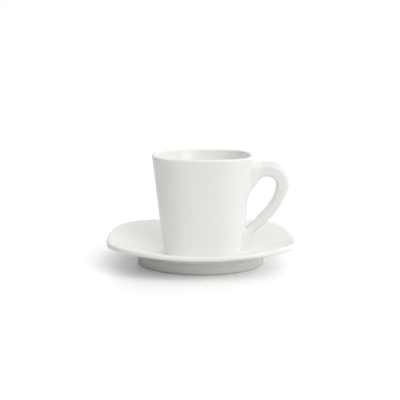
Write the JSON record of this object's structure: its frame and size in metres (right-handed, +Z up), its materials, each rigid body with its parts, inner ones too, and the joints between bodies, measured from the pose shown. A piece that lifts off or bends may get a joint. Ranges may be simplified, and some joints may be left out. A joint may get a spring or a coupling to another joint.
{
  "type": "espresso cup and saucer",
  "caption": "Small white porcelain cup of rounded-square outline with straight tapering walls and a loop handle, standing on a rounded-square saucer with a gently raised edge and a round foot.",
  "frame": {"origin": "middle of the saucer, in the plane of the table its foot stands on", "axes": "+Z up, +X towards the cup's handle, +Y away from the pictured front"},
  "size_m": [0.12, 0.12, 0.069],
  "materials": {
    "cup_porcelain": "clear gloss glaze over white porcelain, dry on the foot ring",
    "handle_porcelain": "clear gloss glaze over white porcelain",
    "saucer_porcelain": "clear gloss glaze over white porcelain, dry on the foot ring"
  },
  "bodies": {
    "saucer": {"saucer": "saucer_porcelain"},
    "cup": {"cup_body": "cup_porcelain", "cup_handle": "handle_porcelain"}
  },
  "joints": [
    {"name": "cup_lift", "type": "slide", "parent": "saucer", "child": "cup", "axis": [0, 0, 1], "range_m": [0, 0.08]}
  ]
}
